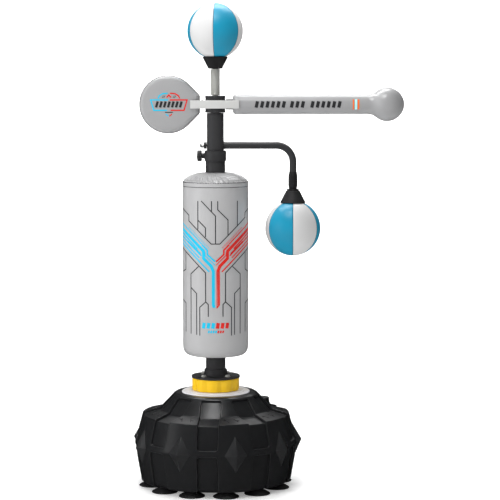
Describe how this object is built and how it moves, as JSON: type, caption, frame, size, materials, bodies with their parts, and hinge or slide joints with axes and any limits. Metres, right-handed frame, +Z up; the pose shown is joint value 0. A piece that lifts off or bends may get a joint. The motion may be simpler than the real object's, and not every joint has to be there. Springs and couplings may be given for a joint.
{
  "type": "free-standing boxing trainer",
  "caption": "Free-standing boxing trainer: weighted tank on suction cups, flexible foot, padded bag, height-set mast, spinning bar and paddle, and reflex balls on a spring and on an arm.",
  "frame": {"origin": "centre of the tank's flat underside, on the mast's axis", "axes": "+Z up along the mast, -Y towards the front, +X to the right seen from the front; the floor is 0.020 m below the origin, under the suction cups"},
  "size_m": [0.9665, 0.6091, 1.715],
  "materials": {
    "tank": "moulded black polyethylene with a low satin sheen",
    "black_rubber": "matt black rubber",
    "sand": "dry sand filling",
    "disc": "pale grey satin moulding",
    "damper": "yellow moulded polyurethane rubber",
    "black_steel": "black powder coat, satin",
    "bright_steel": "bright plated steel",
    "strap": "white powder coat, satin",
    "black_plastic": "black moulded nylon",
    "foam": "closed-cell foam padding",
    "grey_leather": "light grey coated synthetic leather",
    "ball_leather": "blue and white synthetic leather gores over a bladder"
  },
  "bodies": {
    "base": {"base_tank": "tank", "sand_ballast": "sand", "anchor_plate": "black_steel", "top_disc": "disc", "damper_plate": "black_steel", "suction_cup_01": "black_rubber", "suction_cup_02": "black_rubber", "suction_cup_03": "black_rubber", "suction_cup_04": "black_rubber", "suction_cup_05": "black_rubber", "suction_cup_06": "black_rubber", "suction_cup_07": "black_rubber", "suction_cup_08": "black_rubber", "suction_cup_09": "black_rubber", "suction_cup_10": "black_rubber", "suction_cup_11": "black_rubber", "suction_cup_12": "black_rubber"},
    "cap_seal": {"cap_seal": "black_rubber"},
    "filler_cap": {"filler_cap": "black_plastic"},
    "damper": {"damper_ring": "damper"},
    "post": {"post_flange": "black_steel", "flange_bolt_1": "bright_steel", "flange_bolt_2": "bright_steel", "flange_bolt_3": "bright_steel", "flange_bolt_4": "bright_steel", "lower_tube": "black_steel", "bag_cover": "grey_leather", "bag_foam": "foam", "height_collar": "black_steel", "collar_bush": "black_plastic"},
    "clamp_pad": {"clamp_pad": "black_plastic"},
    "lock_knob": {"lock_knob": "black_plastic"},
    "mast_glide": {"mast_glide": "black_plastic"},
    "mast": {"upper_tube": "black_steel", "spindle": "bright_steel", "arm_tube": "black_steel", "arm_spacer": "black_plastic", "acorn_nut": "bright_steel"},
    "spinner": {"spinner_hub": "black_steel", "bearing_lower": "bright_steel", "bearing_upper": "bright_steel", "strap_front": "strap", "strap_rear": "strap", "strap_bolt_1": "bright_steel", "strap_bolt_2": "bright_steel", "strap_bolt_3": "bright_steel", "strap_bolt_4": "bright_steel", "bar_core": "black_steel", "bar_foam": "foam", "bar_cover": "grey_leather", "paddle_core": "black_plastic", "paddle_foam": "foam", "paddle_cover": "grey_leather"},
    "top_spring": {"top_spring": "bright_steel"},
    "top_ball": {"top_ball": "ball_leather", "top_cone": "black_rubber"},
    "arm_sleeve": {"arm_sleeve": "black_rubber"},
    "lower_ball": {"lower_ball": "ball_leather", "lower_cone": "black_rubber"}
  },
  "joints": [
    {"name": "sway_side", "type": "hinge", "parent": "base", "child": "damper", "pos_m": [0, 0, 0.3424], "axis": [0, 1, 0], "range_deg": [-12, 12], "stiffness_Nm_per_rad": 1200, "deforming": ["damper_ring"]},
    {"name": "sway_fore", "type": "hinge", "parent": "damper", "child": "post", "pos_m": [0, 0, 0.3424], "axis": [1, 0, 0], "range_deg": [-12, 12], "stiffness_Nm_per_rad": 1200, "deforming": ["damper_ring"]},
    {"name": "mast_height", "type": "slide", "parent": "post", "child": "mast_glide", "axis": [0, 0, 1], "range_m": [0, 0.2]},
    {"name": "mast_turn", "type": "hinge", "parent": "mast_glide", "child": "mast", "pos_m": [0, 0, 0.8], "axis": [0, 0, 1], "range_deg": [-180, 180]},
    {"name": "pad_press", "type": "slide", "parent": "post", "child": "clamp_pad", "axis": [-1, 0, 0], "range_m": [0, 0.0045]},
    {"name": "knob_turn", "type": "hinge", "parent": "clamp_pad", "child": "lock_knob", "pos_m": [-0.0303, 0, 1.156], "axis": [-1, 0, 0], "range_deg": [0, 1080]},
    {"name": "spinner_turn", "type": "hinge", "parent": "mast", "child": "spinner", "pos_m": [0, 0, 1.3375], "axis": [0, 0, 1], "continuous": true},
    {"name": "top_ball_side", "type": "hinge", "parent": "mast", "child": "top_spring", "pos_m": [0, 0, 1.4159], "axis": [0, 1, 0], "range_deg": [-35, 35], "stiffness_Nm_per_rad": 6, "deforming": ["top_spring"]},
    {"name": "top_ball_fore", "type": "hinge", "parent": "top_spring", "child": "top_ball", "pos_m": [0, 0, 1.4159], "axis": [1, 0, 0], "range_deg": [-35, 35], "stiffness_Nm_per_rad": 6, "deforming": ["top_spring"]},
    {"name": "lower_ball_side", "type": "hinge", "parent": "mast", "child": "arm_sleeve", "pos_m": [0.275, 0, 1.06], "axis": [0, 1, 0], "range_deg": [-40, 20], "stiffness_Nm_per_rad": 4, "deforming": ["arm_sleeve"]},
    {"name": "lower_ball_fore", "type": "hinge", "parent": "arm_sleeve", "child": "lower_ball", "pos_m": [0.275, 0, 1.06], "axis": [1, 0, 0], "range_deg": [-40, 40], "stiffness_Nm_per_rad": 4, "deforming": ["arm_sleeve"]},
    {"name": "cap_lift", "type": "slide", "parent": "base", "child": "cap_seal", "axis": [0, 0, 1], "range_m": [0, 0.008]},
    {"name": "cap_turn", "type": "hinge", "parent": "cap_seal", "child": "filler_cap", "pos_m": [0.16689, 0.16116, 0.255], "axis": [0, 0, 1], "range_deg": [0, 720]}
  ],
  "couplings": [
    {"joint": "knob_turn", "follows": "pad_press", "rad_per_m": 4188.8},
    {"joint": "cap_turn", "follows": "cap_lift", "rad_per_m": 1570.8}
  ]
}
